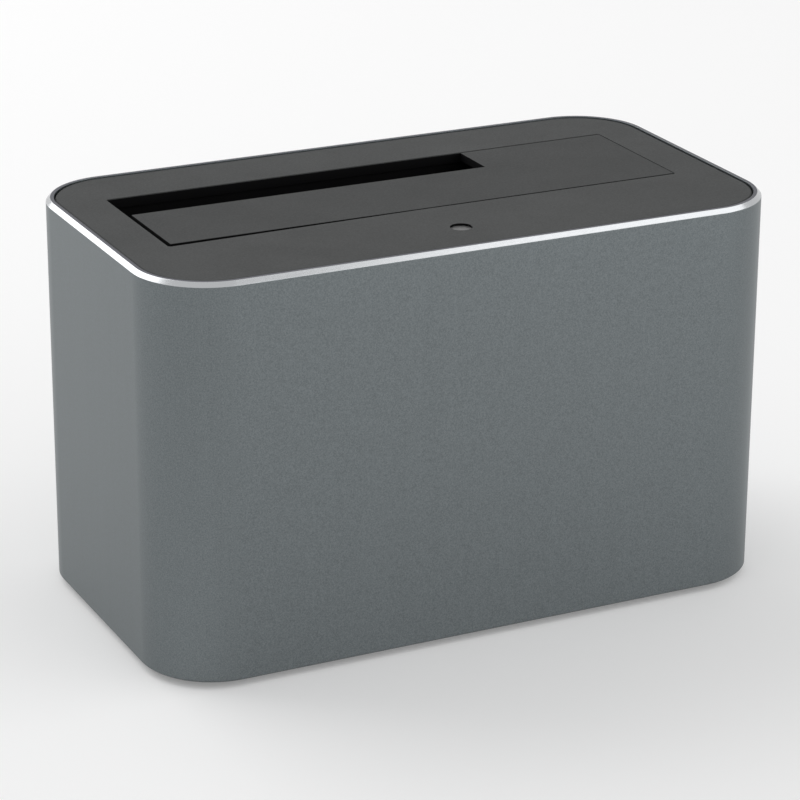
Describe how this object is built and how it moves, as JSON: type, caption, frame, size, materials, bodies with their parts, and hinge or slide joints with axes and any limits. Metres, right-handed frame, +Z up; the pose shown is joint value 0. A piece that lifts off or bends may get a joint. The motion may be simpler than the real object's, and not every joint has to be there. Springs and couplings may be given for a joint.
{
  "type": "hard drive docking station",
  "caption": "Desktop docking station for bare drives: tall rounded metal sleeve, sprung L-shaped door in the top slot, and power, USB and a button at the back.",
  "frame": {"origin": "centre of the footprint, on the plane of the feet", "axes": "+X along the long side to the right, +Y to the back where the ports are, +Z up"},
  "size_m": [0.125, 0.069, 0.0765],
  "materials": {
    "anodised_aluminium": "bead-blasted and anodised dark grey, with a bright cut bevel at the rim",
    "charcoal_plastic": "fine matt texture",
    "door_plastic": "fine matt texture",
    "bay_plastic": "black moulding",
    "port_plastic": "black, lightly textured",
    "button_plastic": "satin black",
    "connector_plastic": "black moulding",
    "usb_blue_plastic": "blue moulding",
    "hinge_steel": "ground",
    "spring_steel": "drawn wire",
    "plated_steel": "tin plated sheet",
    "gold_contact": "gold plated",
    "screw_steel": "black zinc plated",
    "board_laminate": "green solder mask",
    "chip_package": "moulded package",
    "inductor_body": "pressed powder",
    "capacitor_can": "bright can",
    "crystal_can": "bright can",
    "light_guide_acrylic": "clear acrylic, frosted at its end",
    "led_package": "white package",
    "foot_rubber": "matt rubber"
  },
  "bodies": {
    "dock": {"housing_sleeve": "anodised_aluminium", "top_panel": "charcoal_plastic", "door_hinge_pin": "hinge_steel", "door_spring_left": "spring_steel", "door_spring_right": "spring_steel", "drive_bay": "bay_plastic", "bay_screws": "screw_steel", "main_board": "board_laminate", "sata_receptacle": "connector_plastic", "sata_contacts": "gold_contact", "usb_shell": "plated_steel", "usb_insulator": "usb_blue_plastic", "usb_contacts": "gold_contact", "power_inlet_body": "connector_plastic", "power_inlet_pin": "plated_steel", "power_inlet_leaf": "plated_steel", "power_switch_body": "connector_plastic", "switch_return_spring": "spring_steel", "rear_port_plate": "port_plastic", "base_plate": "port_plastic", "rubber_feet": "foot_rubber", "base_screws": "screw_steel", "board_screws": "screw_steel", "light_guide": "light_guide_acrylic", "indicator_led": "led_package", "bridge_chip": "chip_package", "memory_chip": "chip_package", "regulator_chips": "chip_package", "power_inductors": "inductor_body", "electrolytic_capacitors": "capacitor_can", "crystal": "crystal_can", "board_components": "chip_package"},
    "door": {"slot_door": "door_plastic"},
    "button": {"power_button": "button_plastic", "switch_plunger": "port_plastic"}
  },
  "joints": [
    {"name": "door_hinge", "type": "hinge", "parent": "dock", "child": "door", "pos_m": [0, -0.0132, 0.0712], "axis": [-1, 0, 0], "range_deg": [0, 90], "stiffness_Nm_per_rad": 0.004, "springref_deg": -34.38, "deforming": ["door_spring_left", "door_spring_right"]},
    {"name": "power_button_press", "type": "slide", "parent": "dock", "child": "button", "axis": [0, -1, 0], "range_m": [0, 0.0018], "stiffness_N_per_m": 600, "springref_m": -0.001, "deforming": ["switch_return_spring"]}
  ]
}
